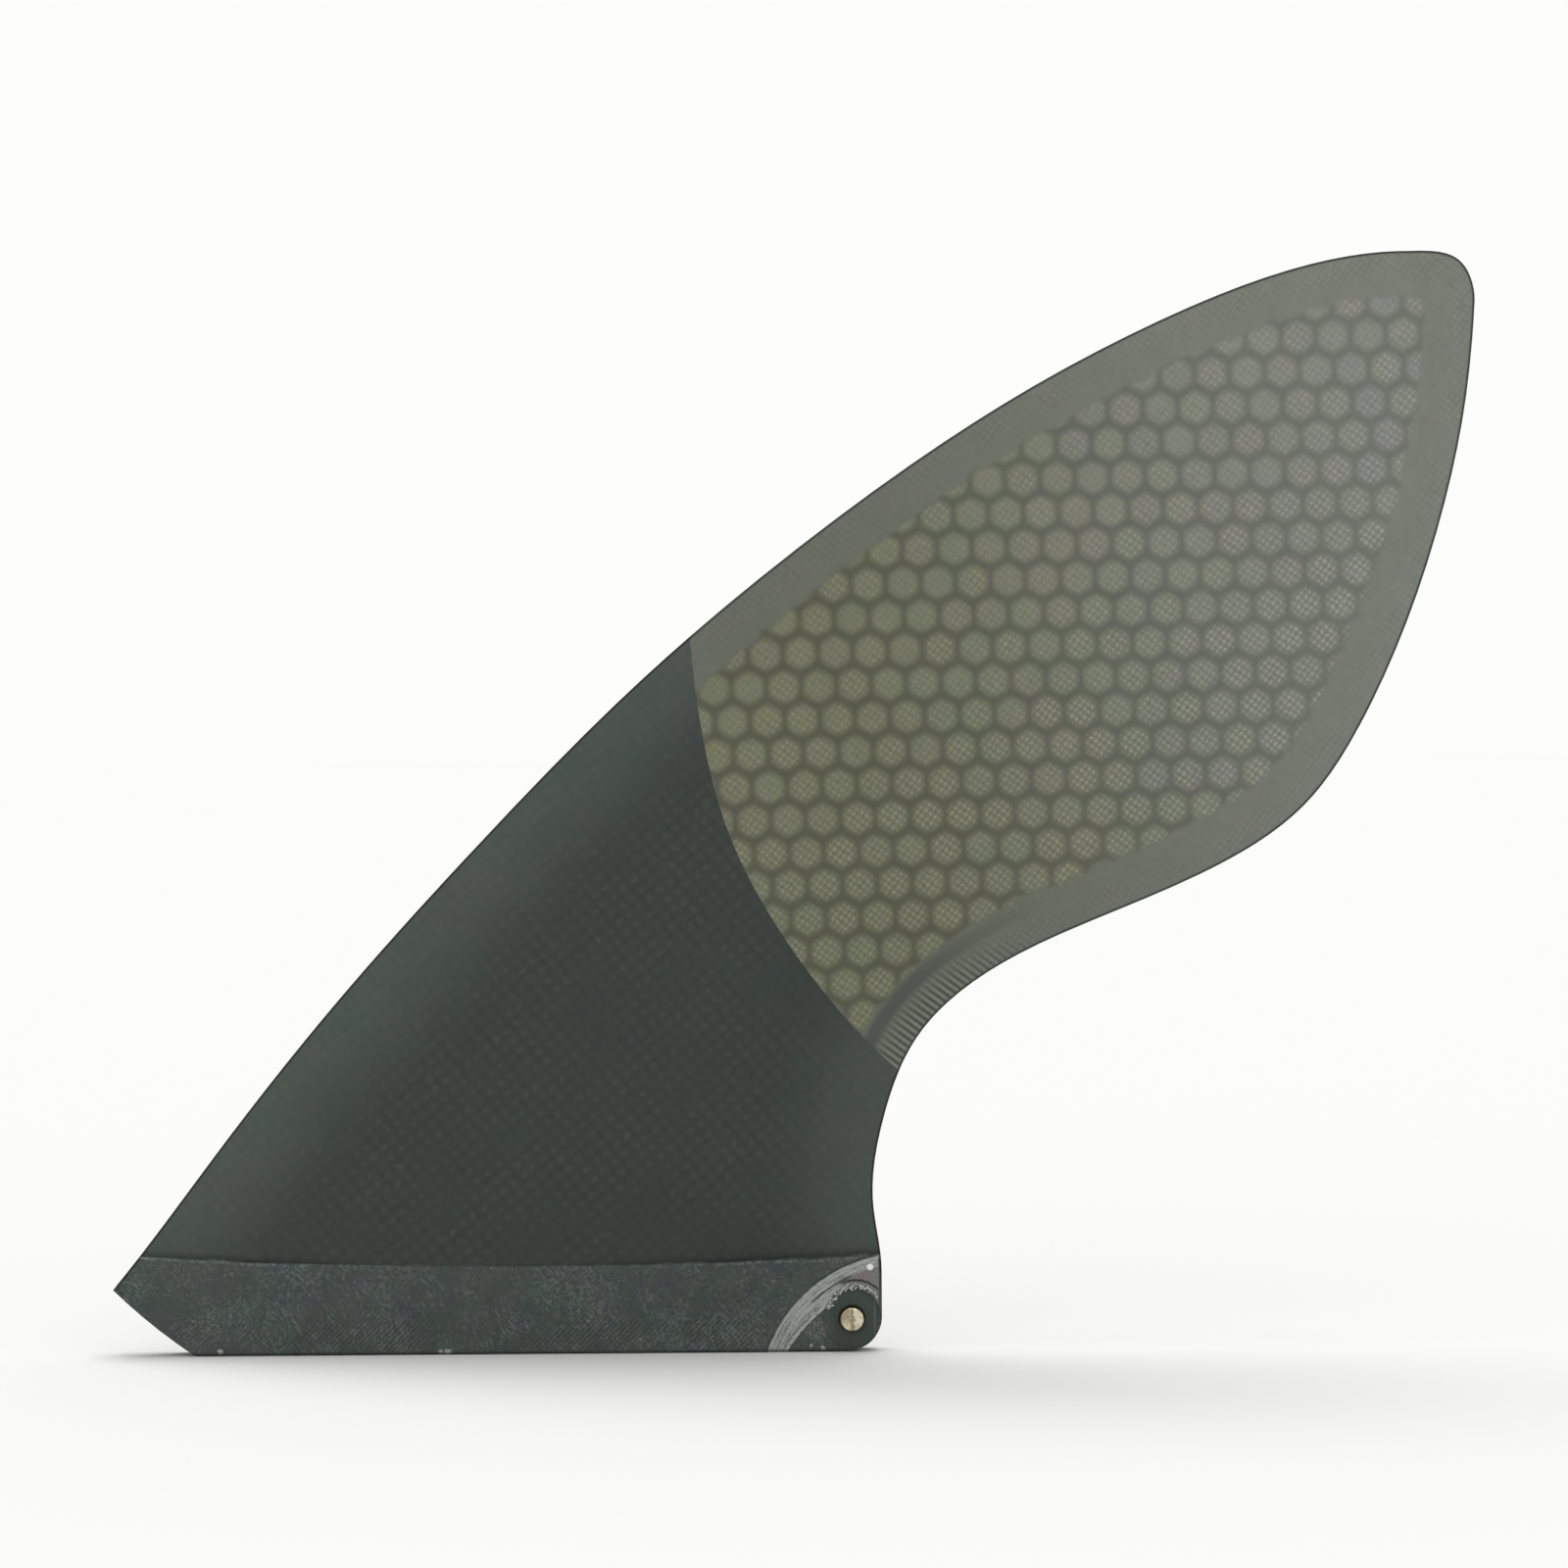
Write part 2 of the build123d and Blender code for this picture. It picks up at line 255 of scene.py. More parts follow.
class Tree:
    """A shader tree with short ways to add its nodes and join them."""

    def __init__(self, tree):
        self.tree = tree
        self.count = 0

    def node(self, kind, label="", **settings):
        """Adds a node with its settings."""
        made = self.tree.nodes.new(kind)
        made.label = label
        made.location = (self.count // 6 * 190 - 1400, 500 - self.count % 6 * 190)
        self.count += 1
        for key, value in settings.items():
            setattr(made, key, value)
        return made

    def put(self, socket, value):
        """Joins a socket to another one, or sets its value."""
        if isinstance(value, bpy.types.NodeSocket):
            self.tree.links.new(value, socket)
        elif value is not None:
            socket.default_value = value

    def math(self, operation, first, second=None, third=None, label=""):
        """A Math node's result."""
        made = self.node("ShaderNodeMath", label, operation=operation)
        for socket, value in zip(made.inputs, (first, second, third)):
            self.put(socket, value)
        return made.outputs[0]

    def vector(self, operation, first, second=None, scale=None, label=""):
        """A Vector Math node's result, which is a number for a length or a distance."""
        made = self.node("ShaderNodeVectorMath", label, operation=operation)
        self.put(made.inputs[0], first)
        self.put(made.inputs[1], second)
        if scale is not None:
            self.put(made.inputs["Scale"], scale)
        return made.outputs["Value" if operation in ("LENGTH", "DISTANCE") else "Vector"]

    def step(self, value, low, high, label=""):
        """A smooth step from 0 at low to 1 at high, where high may be the smaller."""
        made = self.node("ShaderNodeMapRange", label, interpolation_type="SMOOTHSTEP")
        falling = not isinstance(low, bpy.types.NodeSocket) and low > high
        self.put(made.inputs["Value"], value)
        self.put(made.inputs["From Min"], high if falling else low)
        self.put(made.inputs["From Max"], low if falling else high)
        self.put(made.inputs["To Min"], 1.0 if falling else 0.0)
        self.put(made.inputs["To Max"], 0.0 if falling else 1.0)
        return made.outputs["Result"]

    def band(self, value, middle, half, soft):
        """A line: 1 within a half width of the middle, falling to 0 over a softness."""
        off = self.math("ABSOLUTE", self.math("SUBTRACT", value, middle))
        return self.step(off, half + soft, half)

    def ring(self, place, x, z, radius, label=""):
        """Millimetres outside a circle in the blade's plane, which is given in metres."""
        away = self.vector("DISTANCE", place, (mm(x), 0, mm(z)), label=label)
        return self.math("SUBTRACT", away, mm(radius))

    def both(self, *masks, label=""):
        """Masks multiplied."""
        result = masks[0]
        for mask in masks[1:]:
            result = self.math("MULTIPLY", result, mask, label=label)
        return result

    def between(self, factor, low, high):
        """A number between two others."""
        made = self.node("ShaderNodeMapRange")
        for name, value in (("Value", factor), ("To Min", low), ("To Max", high)):
            self.put(made.inputs[name], value)
        return made.outputs["Result"]

    def mix(self, factor, first, second, label=""):
        """Two colours mixed."""
        made = self.node("ShaderNodeMix", label, data_type="RGBA")
        self.put(made.inputs[0], factor)
        self.put(made.inputs[6], first)
        self.put(made.inputs[7], second)
        return made.outputs[2]

    def cover(self, under, mask, over, share=None):
        """A colour laid over another one in a mask, in full or by a share."""
        return self.mix(mask if share is None else self.both(mask, share), under, over)

    def shade(self, tone, amount):
        """A colour multiplied by a number."""
        made = self.node("ShaderNodeVectorMath", operation="SCALE")
        self.put(made.inputs[0], tone)
        self.put(made.inputs["Scale"], amount)
        return made.outputs["Vector"]

    def relit(self, tone, mask, amount):
        """A colour made lighter by an amount in a mask, or darker by a negative one."""
        return self.shade(tone, self.math("MULTIPLY_ADD", mask, amount, 1.0))

    def mottled(self, tone, place, *layers):
        """A colour under layers of drifting tint, each with its size and its amount."""
        for size, amount in layers:
            tint = self.group("Mottle", position=place, size=size, amount=amount)["Tint"]
            tone = self.vector("MULTIPLY", tone, tint)
        return tone

    def noise(self, vector, scale, detail=2.0, rough=0.5):
        """A Noise Texture node's outputs."""
        made = self.node("ShaderNodeTexNoise")
        settings = {"Vector": vector, "Scale": scale, "Detail": detail, "Roughness": rough}
        for name, value in settings.items():
            self.put(made.inputs[name], value)
        return made.outputs

    def mapping(self, vector, location=(0, 0, 0), turn=0.0, label=""):
        """Position seen from a centre and a turn about Y, in millimetres."""
        made = self.node("ShaderNodeMapping", label, vector_type="TEXTURE")
        self.put(made.inputs["Vector"], vector)
        self.put(made.inputs["Location"], location)
        self.put(made.inputs["Rotation"], (0, turn, 0))
        self.put(made.inputs["Scale"], (0.001, 0.001, 0.001))
        return made.outputs[0]

    def split(self, vector):
        """A vector's X, Y and Z."""
        made = self.node("ShaderNodeSeparateXYZ")
        self.put(made.inputs[0], vector)
        return made.outputs

    def join(self, x, y, z=0.0):
        """A vector from X, Y and Z."""
        made = self.node("ShaderNodeCombineXYZ")
        for socket, value in zip(made.inputs, (x, y, z)):
            self.put(socket, value)
        return made.outputs[0]

    def attribute(self, name):
        """A number stored on the piece's points."""
        return self.node("ShaderNodeAttribute", name, attribute_name=name).outputs["Fac"]

    def position(self):
        """The piece's own coordinates, in metres."""
        return self.node("ShaderNodeTexCoord").outputs["Object"]

    def spot(self):
        """All that a blade's material knows of a point. Only the place is in metres."""
        place = self.position()
        flat = self.mapping(place)
        x, _, z = self.split(flat)
        return SimpleNamespace(
            place=place,
            flat=flat,
            x=x,
            z=z,
            rim=self.attribute("rim"),
            aft=self.attribute("aft"),
        )

    def group(self, name, **values):
        """A shared effect's outputs, with its inputs set."""
        made = self.node("ShaderNodeGroup", name, node_tree=bpy.data.node_groups[name])
        for key, value in values.items():
            self.put(made.inputs[key.title()], value)
        return made.outputs

    def cloth(self, place, size, uneven):
        """The weave of a piece's cloth, from its settings."""
        return self.group(
            "Cloth",
            position=self.mapping(place, turn=size.cloth_turn, label="Lean of the cloth"),
            warp=mm(size.cloth_warp),
            weft=mm(size.cloth_weft),
            uneven=uneven,
        )["Weave"]

    def bump(self, height, depth, strength):
        """A Bump node's normal. Depth is in metres."""
        made = self.node("ShaderNodeBump")
        for name, value in (("Height", height), ("Distance", depth), ("Strength", strength)):
            self.put(made.inputs[name], value)
        return made.outputs[0]


def new_group(name, inputs, outputs):
    """An empty node group with its sockets: the tree, what comes in and what goes out."""
    group = bpy.data.node_groups.new(name, "ShaderNodeTree")
    for label, value in inputs.items():
        kind = "NodeSocketVector" if value is None else "NodeSocketFloat"
        socket = group.interface.new_socket(label, in_out="INPUT", socket_type=kind)
        if value is not None:
            socket.default_value = value
    for label in outputs:
        kind = "NodeSocketColor" if label == "Tint" else "NodeSocketFloat"
        group.interface.new_socket(label, in_out="OUTPUT", socket_type=kind)
    tree = Tree(group)
    return tree, tree.node("NodeGroupInput").outputs, tree.node("NodeGroupOutput").inputs


def new_material(name, roughness, **constants):
    """A material with its Principled BSDF: the tree and the shader's inputs."""
    material = bpy.data.materials.new(name)
    material.use_nodes = True
    material.node_tree.nodes.clear()
    tree = Tree(material.node_tree)
    output = tree.node("ShaderNodeOutputMaterial")
    shader = tree.node("ShaderNodeBsdfPrincipled")
    output.location, shader.location = (1900, 300), (1600, 300)
    tree.put(output.inputs["Surface"], shader.outputs[0])
    shader.inputs["Roughness"].default_value = roughness
    for key, value in constants.items():
        shader.inputs[key.replace("_", " ")].default_value = value
    return material, tree, shader.inputs


# ---------------- shared effects


def build_cell_lattice():
    """Rounded hexagonal cells in offset rows: their mask, and each one's chance and tint."""
    tree, come, go = new_group(
        "Cell Lattice",
        {"Position": None, "Width": 7.1, "Pitch": 8.7, "Row": 8.29, "Blur": 0.5},
        ("Cell", "Chance", "Tint"),
    )
    x, _, z = tree.split(come["Position"])
    double_row = tree.math("MULTIPLY", come["Row"], 2.0)
    unit = tree.join(come["Pitch"], double_row, 1.0)
    place = tree.vector("DIVIDE", tree.join(x, z), unit)
    even = tree.vector("FLOOR", tree.vector("ADD", place, (0.5, 0.5, 0)))
    odd = tree.vector("ADD", tree.vector("FLOOR", place), (0.5, 0.5, 0))
    off_even = tree.vector("MULTIPLY", tree.vector("SUBTRACT", place, even), unit)
    off_odd = tree.vector("MULTIPLY", tree.vector("SUBTRACT", place, odd), unit)
    nearer = tree.math(
        "LESS_THAN", tree.vector("LENGTH", off_odd), tree.vector("LENGTH", off_even)
    )
    away = tree.vector("ABSOLUTE", tree.mix(nearer, off_even, off_odd))
    across, up, _ = tree.split(away)
    slanted = tree.math(
        "MULTIPLY_ADD", up, math.sqrt(0.75), tree.math("MULTIPLY", across, 0.5)
    )
    hexagon = tree.math("MAXIMUM", across, slanted)
    rounded = tree.between(0.6, hexagon, tree.vector("LENGTH", away))
    half = tree.math("MULTIPLY", come["Width"], 0.5)
    inner = tree.math("SUBTRACT", half, come["Blur"])
    outer = tree.math("ADD", half, come["Blur"])
    tree.put(go["Cell"], tree.math("SUBTRACT", 1.0, tree.step(rounded, inner, outer)))
    chance = tree.node("ShaderNodeTexWhiteNoise")
    tree.put(chance.inputs["Vector"], tree.mix(nearer, even, odd))
    tree.put(go["Chance"], chance.outputs["Value"])
    tree.put(go["Tint"], chance.outputs["Color"])


def build_cloth():
    """Threads crossing square to each other, a little uneven."""
    tree, come, go = new_group(
        "Cloth", {"Position": None, "Warp": 1.0, "Weft": 1.0, "Uneven": 0.4}, ("Weave",)
    )
    wobble = tree.noise(come["Position"], 0.45)
    shift = tree.vector("SCALE", wobble["Color"], scale=come["Uneven"])
    moved = tree.vector("ADD", come["Position"], shift)
    x, _, z = tree.split(tree.vector("SCALE", moved, scale=math.tau))
    along = tree.math("SINE", tree.math("DIVIDE", x, come["Warp"]))
    across = tree.math("SINE", tree.math("DIVIDE", z, come["Weft"]))
    crossing = tree.math("MULTIPLY", along, across)
    threads = tree.math("ADD", along, across)
    tree.put(go["Weave"], tree.math("MULTIPLY_ADD", crossing, 0.6, threads))


def build_marks():
    """Short thin scratches along one direction, gathered in patches."""
    tree, come, go = new_group(
        "Sanding Marks",
        {"Position": None, "Length": 6.0, "Width": 0.35, "Share": 0.5},
        ("Marks",),
    )
    stretch = tree.join(come["Length"], 1.0, come["Width"])
    thin = tree.noise(tree.vector("DIVIDE", come["Position"], stretch), 1.0, 2.0, 0.6)
    patch = tree.noise(come["Position"], 0.09, 2.0, 0.6)
    limit = tree.math("SUBTRACT", 1.0, come["Share"])
    inside = tree.step(patch["Fac"], limit, tree.math("ADD", limit, 0.22))
    tree.put(go["Marks"], tree.both(tree.step(thin["Fac"], 0.52, 0.68), inside))


def build_mottle():
    """Slow drift of a finish between cooler, greener and warmer, and lighter and darker."""
    tree, come, go = new_group(
        "Mottle", {"Position": None, "Size": 20.0, "Amount": 0.1}, ("Tint",)
    )
    size = tree.join(come["Size"], come["Size"], come["Size"])
    drift = tree.noise(tree.vector("DIVIDE", come["Position"], size), 1.0, 3.0, 0.55)
    paler = tree.mix(0.5, drift["Color"], drift["Fac"])
    centred = tree.vector("SUBTRACT", paler, GREY)
    scaled = tree.vector("SCALE", centred, scale=come["Amount"])
    tree.put(go["Tint"], tree.vector("ADD", scaled, WHITE))


# ---------------- glass


def glass_material(looks):
    """Glass cloth over the honeycomb sheet, with a solid rim and ribs at the neck."""
    size = looks.glass
    material, tree, shader = new_material(
        "Honeycomb Glass", 0.42, IOR=1.4, Specular_IOR_Level=0.4
    )
    at = tree.spot()

    # Cells, inside the sheet's border
    lattice_centre = (size.lattice_x, 0, size.lattice_z)
    lattice = tree.group(
        "Cell Lattice",
        position=tree.mapping(at.place, lattice_centre, -size.lattice_tilt, "Lattice"),
        width=mm(size.cell_width),
        pitch=mm(size.cell_pitch),
        row=mm(size.row_pitch),
        blur=mm(size.cell_blur),
    )
    wander = tree.noise(at.flat, 0.22)["Fac"]
    nearest = mm(size.rim_width - size.rim_drift / 2)
    border = tree.math("MULTIPLY_ADD", wander, mm(size.rim_drift), nearest)
    border = tree.math("MULTIPLY_ADD", at.aft, mm(size.rim_gain), border)
    inside = tree.step(tree.math("SUBTRACT", at.rim, border), -0.7, 1.3, "Inside the sheet")
    cell = tree.both(lattice["Cell"], inside)

    # Cloth: stronger in some cells than in others, on the low side, and near the outline
    cloth = tree.cloth(at.place, size, 1.2)
    leaning = tree.math("SUBTRACT", at.z, tree.math("MULTIPLY", at.x, 0.55))
    low_side = tree.step(leaning, 150.0, 60.0, "Low side")
    by_cell = tree.math("MULTIPLY_ADD", lattice["Chance"], 0.5, 0.25)
    in_cell = tree.both(cell, tree.math("MULTIPLY_ADD", low_side, 0.7, by_cell))
    patchy = tree.step(tree.noise(at.flat, 0.10)["Fac"], 0.36, 0.66)
    near_rim = tree.both(tree.step(at.rim, 9.0, 4.0), tree.between(patchy, 0.3, 1.0))
    depth = tree.math("MULTIPLY_ADD", in_cell, 0.15, tree.both(near_rim, 0.07))
    broken = tree.between(tree.noise(at.flat, 1.1)["Fac"], -0.2, 1.8)
    threads = tree.both(cloth, broken, depth)

    # Ribs: the cloth's cross threads stand out at the neck
    neck_low, neck_high = mm(size.neck_low), mm(size.neck_high)
    neck = tree.both(at.aft, tree.step(at.z, neck_high, neck_low), label="Neck")
    across = tree.split(tree.mapping(at.place, turn=size.cloth_turn))[2]
    ribs = tree.math("SINE", tree.math("MULTIPLY", across, math.tau / mm(size.cloth_weft)))
    ribs = tree.both(ribs, neck, tree.step(at.rim, 9.5, 3.0), label="Ribs")
    weave = tree.math("ADD", threads, tree.math("MULTIPLY_ADD", ribs, 0.56, 1.0))

    # Colours: cells on the web inside the rim, all paler toward the tip
    tip_line = tree.math("MULTIPLY_ADD", at.x, 0.9, tree.math("MULTIPLY", at.z, 0.3))
    tipward = tree.step(tip_line, 108.0, 266.0, "Toward the tip")
    rim_tone = tree.mix(tipward, linear(size.rim_colour), linear(size.tip_rim_colour), "Rim")
    web_tone = tree.mix(tipward, linear(size.web_colour), linear(size.tip_web_colour), "Web")
    cell_tone = tree.mix(
        tipward, linear(size.cell_colour), linear(size.tip_cell_colour), "Cells"
    )
    own = tree.vector("SCALE", tree.vector("SUBTRACT", lattice["Tint"], GREY), scale=0.05)
    cell_tone = tree.vector("MULTIPLY", cell_tone, tree.vector("ADD", own, WHITE))
    base = tree.mix(cell, tree.mix(inside, rim_tone, web_tone), cell_tone, "Cells on the web")
    base = tree.mottled(base, at.flat, (1.6, 0.30), (6.0, 0.18), (24.0, 0.16))

    # Dark band and darker rim at the neck, then the threads, and painted shade along the outline
    # where the rounded edge turns away
    groove = tree.both(
        tree.band(at.rim, mm(size.groove_in), 0.8, 2.0),
        at.aft,
        tree.step(at.z, neck_high + 10.0, neck_low),
        label="Band inside the rim",
    )
    base = tree.cover(base, groove, linear(size.groove_colour), 0.75)
    base = tree.relit(base, tree.both(neck, tree.step(at.rim, 14.0, 8.0)), -0.10)
    base = tree.shade(base, weave)
    # Painted shade: a dark line along the outline where the rounded edge turns away
    outline = tree.step(at.rim, 0.8, 0.3, "Outline")
    tree.put(shader["Base Color"], tree.cover(base, outline, linear(size.edge_shade_colour)))

    rough = tree.between(tree.noise(at.flat, 0.5)["Fac"], 0.36, 0.52)
    tree.put(shader["Roughness"], rough)
    tree.put(shader["Normal"], tree.bump(tree.both(cloth, 0.3), 0.00003, 0.5))
    return material


# ---------------- root


def ply_layer(tree, size, at):
    """Dark plies with a painted sheen along the edges, where the curved foil turns toward the
    light, and coarse cloth: their colour and their weave.
    """
    # Painted sheen: lighter bands along the leading and trailing edges, where the foil curves
    # toward the light
    width = mm(size.edge_sheen_width)
    front = tree.both(tree.step(at.rim, width, 1.0), tree.math("SUBTRACT", 1.0, at.aft))
    back = tree.both(tree.step(at.rim, width, 2.0), at.aft)
    bands = tree.math("MULTIPLY_ADD", back, 0.8, front)
    base = tree.mix(bands, linear(size.ply_colour), linear(size.sheen_and_floor_colour), "Edge bands")
    base = tree.mottled(base, at.flat, (3.0, 0.30), (20.0, 0.38))

    weave = tree.cloth(at.place, size, 2.4)
    patchy = tree.step(tree.noise(at.flat, 0.05)["Fac"], 0.3, 0.6)
    shows = tree.both(patchy, tree.step(at.rim, 10.0, 36.0), label="Where the cloth shows")
    broken = tree.between(tree.noise(at.flat, 0.6, 3.0, 0.6)["Fac"], -0.9, 2.6)
    depth = tree.both(tree.between(shows, 0.03, 0.11), broken)
    return tree.relit(base, weave, depth), weave


def tab_layer(tree, size, at, base):
    """The ground tab over the plies, with painted shade in the crease along its top: the colour,
    and the mask of the tab.
    """
    along = tree.math("DIVIDE", at.x, mm(size.tab_reach))
    lowest = mm(size.tab_height - size.tab_dip)
    top = tree.math("MULTIPLY_ADD", tree.both(along, along), mm(size.tab_dip), lowest)
    wave = tree.math("MULTIPLY_ADD", tree.noise(at.flat, 0.11, 3.0)["Fac"], 1.6, -0.8)
    above = tree.math("SUBTRACT", at.z, tree.math("ADD", top, wave), label="Above the tab")
    tab = tree.step(above, 0.35, -0.35, "Tab")
    off_middle = tree.math("ABSOLUTE", tree.math("ADD", at.x, 5.0))
    ends = tree.step(off_middle, 18.0, 60.0, "Toward the ends")
    # Painted shade in the crease where the foil meets the tab's face, toward the ends
    crease_shade = tree.both(tree.band(above, 0.4, 0.2, 1.0), ends)
    base = tree.relit(base, crease_shade, -0.25)

    # Scratches on the ground face
    scratched = linear(size.scratch_colour)
    ground = tree.mottled(linear(size.ground_colour)[:3], at.flat, (1.1, 0.9), (8.0, 0.6))
    for turn, long, wide, share in SANDING:
        apart = (turn / 500, 0, 0)  # metres, so that no two sets of scratches are alike
        lines = tree.group(
            "Sanding Marks",
            position=tree.mapping(at.place, apart, math.radians(turn)),
            length=long,
            width=wide,
            share=share,
        )["Marks"]
        ground = tree.cover(ground, lines, scratched, 0.42)
    base = tree.mix(tab, base, ground, "Plies to tab")

    # Paler upper edge, partly real wear and partly a painted highlight where light from above
    # catches it, and slanted strokes low down
    rubbed = tree.step(tree.noise(at.flat, 0.8)["Fac"], 0.40, 0.62)
    # Paler edge along the tab's top: part wear, part painted highlight
    worn = tree.both(tree.band(above, -0.35, 0.15, 0.35), ends, rubbed)
    base = tree.cover(base, worn, scratched, 0.5)
    slant = tree.math("SUBTRACT", at.x, at.z)
    strokes = tree.math("SINE", tree.math("MULTIPLY", slant, math.tau / mm(size.hatch_pitch)))
    hatched = tree.step(tree.noise(at.flat, 0.07)["Fac"], 0.46, 0.56)
    hatch = tree.both(strokes, tab, tree.step(at.z, 11.0, 6.0), hatched)
    return tree.relit(base, hatch, 0.22), tab


def relief_layer(tree, looks, at, base):
    """The relief round the pin, with streaky plies torn at their edge, painted highlight and shade
    along its edges and cracks, and painted shade in the gap round the pin: colour and height.
    """
    size, heel, pin = looks.root, looks.heel, looks.pin
    outer_centre = (mm(heel.outer_x), 0, mm(heel.outer_z))
    from_outer = tree.vector("DISTANCE", at.level, outer_centre, label="Outer arc")
    outer = tree.math("SUBTRACT", from_outer, mm(heel.outer_radius))
    inner = tree.ring(at.level, heel.inner_x, heel.inner_z, heel.inner_radius, "Inner arc")
    torn = tree.ring(at.level, heel.torn_x, heel.torn_z, heel.torn_radius, "Torn edge")
    shiver = tree.noise(at.flat, 1.1, 3.0, 0.6)["Fac"]
    shaken = tree.math("MULTIPLY_ADD", shiver, 2.0, -1.0)
    ragged = tree.math("ADD", torn, shaken)
    grain = tree.noise(at.flat, 1.8, 3.0, 0.6)["Fac"]
    fibres = tree.step(tree.noise(at.flat, 2.6, 3.0, 0.7)["Fac"], 0.35, 0.65)

    # Floor of the relief
    relief = tree.both(tree.step(outer, 0.2, -0.2), tree.step(at.x, 85.4, 84.8), label="Relief")
    floor = tree.mix(grain, linear(size.ply_colour, 1.15), linear(size.sheen_and_floor_colour, 1.1))
    base = tree.mix(relief, base, floor, "Floor of the relief")

    # Open plies: between the two arcs, and above the torn edge
    upper = tree.both(tree.step(at.x, 76.0, 78.5), tree.step(at.z, 10.5, 12.0))
    past_inner = tree.math("MAXIMUM", tree.step(inner, -0.3, 0.3), upper)
    opened = tree.both(relief, past_inner, tree.step(ragged, 0.3, 0.6), label="Open plies")
    along_arc = tree.join(
        tree.math("MULTIPLY", from_outer, 2.6), 0.0, tree.math("MULTIPLY", at.x, 0.22)
    )
    streaks = tree.step(tree.noise(along_arc, 1.0, 3.0, 0.7)["Fac"], 0.34, 0.66)
    tone = tree.math("MULTIPLY_ADD", fibres, 0.7, streaks)
    exposed = tree.shade(linear(heel.exposed_colour)[:3], tree.between(tone, 0.15, 1.22))
    base = tree.mix(opened, base, exposed, "Open plies")
    mauve = tree.both(
        opened,
        tree.step(at.x, 74.0, 77.5),
        tree.step(outer, -1.8, -3.0),
        tree.step(at.z, 11.5, 13.5),
    )
    mauve_tone = tree.shade(linear(heel.mauve_colour)[:3], tree.between(grain, 0.6, 1.3))
    base = tree.cover(base, mauve, mauve_tone)

    # Brown patch and scuffs on the floor
    about_patch = tree.ring(at.level, heel.patch_x, heel.patch_z, heel.patch_radius)
    patch = tree.both(tree.step(about_patch, 0.0, -2.0), tree.step(grain, 0.42, 0.60), relief)
    base = tree.cover(base, patch, linear(heel.patch_colour), 0.8)
    scuffs = tree.both(
        tree.step(fibres, 0.35, 0.9),
        relief,
        tree.step(inner, -0.2, -0.8),
        tree.step(at.x, 76.0, 71.0),
    )
    base = tree.cover(base, scuffs, linear(size.scratch_colour), 0.35)

    # Thin lines: a painted highlight along the outer arc, a light and a dark line along the inner
    # arc, pale fibres along the torn edge, painted shade in two cracks, a painted shadow just
    # outside the outer arc
    # and a light scratch. For each: what it follows, its place there, half width and softness, the
    # masks that bound it, its share and its grey
    faded = tree.step(tree.noise(at.flat, 0.9)["Fac"], 0.30, 0.50)
    arch = tree.math("MULTIPLY_ADD", shaken, 0.35, torn)
    arc = tree.math("MULTIPLY_ADD", shaken, 0.35, outer)
    x, z, step = at.x, at.z, tree.step
    for path, middle, half, soft, masks, share, level in (
        # painted highlight along the edge of the outer arc
        (outer, -0.2, 0.12, 0.40, (faded,), 0.85, 182),
        (inner, 0.0, 0.08, 0.35, (step(x, 74.5, 72.5), relief, faded), 0.85, 176),
        (inner, 0.8, 0.10, 0.35, (step(x, 72.5, 69.0), relief, faded), 0.55, 45),
        (ragged, 0.0, 0.25, 0.45, (step(z, 10.0, 11.0), relief, step(fibres, 0, 0.8)), 0.65, 150),
        # painted shade in a crack above the torn edge
        (arch, 1.5, 0.12, 0.35, (step(x, 75.0, 76.5), relief, step(z, 11.5, 13.0)), 0.85, 28),
        # painted shade in a crack inside the outer arc
        (arc, -2.7, 0.08, 0.30, (step(x, 68.0, 69.2), step(x, 79.0, 77.5)), 0.75, 32),
        # painted shadow just outside the outer arc
        (outer, 0.45, 0.05, 0.35, (step(x, 60.0, 79.0),), 0.55, 22),
        (x, 84.2, 0.04, 0.25, (step(z, 2.5, 6.0), step(z, 14.0, 11.0), faded), 0.35, 130),
    ):
        line = tree.both(tree.band(path, middle, half, soft), *masks)
        base = tree.cover(base, line, grey(level), share)
    # Painted shade in the gap round the pin
    about_pin = tree.ring(at.level, pin.pin_x, pin.pin_z, pin.gap_shade_radius, "About the pin")
    base = tree.cover(base, tree.step(about_pin, 0.1, -0.1), linear(pin.gap_shade_colour))
    return base, tree.both(tone, opened)


def foot_layer(tree, size, at, base):
    """Chips along the foot, and painted shade along the foot and along the outline, where the
    rounded edges turn away.
    """
    shift = tree.vector("SCALE", tree.noise(at.flat, 1.3)["Color"], scale=1.2)
    ragged = tree.vector("MULTIPLY", tree.vector("ADD", at.level, shift), SQUARE)
    for chip_x, chip_z, reach in CHIPS:
        near = tree.vector("DISTANCE", ragged, (chip_x + 0.6, 0, chip_z + 0.6))
        chip = tree.step(near, reach, reach * 0.4)
        base = tree.cover(base, chip, linear(size.chip_colour))
    # Painted shade along the foot's bottom edge, and along the outline above the tab
    dark = linear(size.edge_shade_colour)
    base = tree.cover(base, tree.step(at.z, 0.75, 0.2), dark, 0.6)
    outline = tree.both(tree.step(at.rim, 0.75, 0.25), tree.step(at.z, 14.0, 20.0))
    return tree.cover(base, outline, dark)


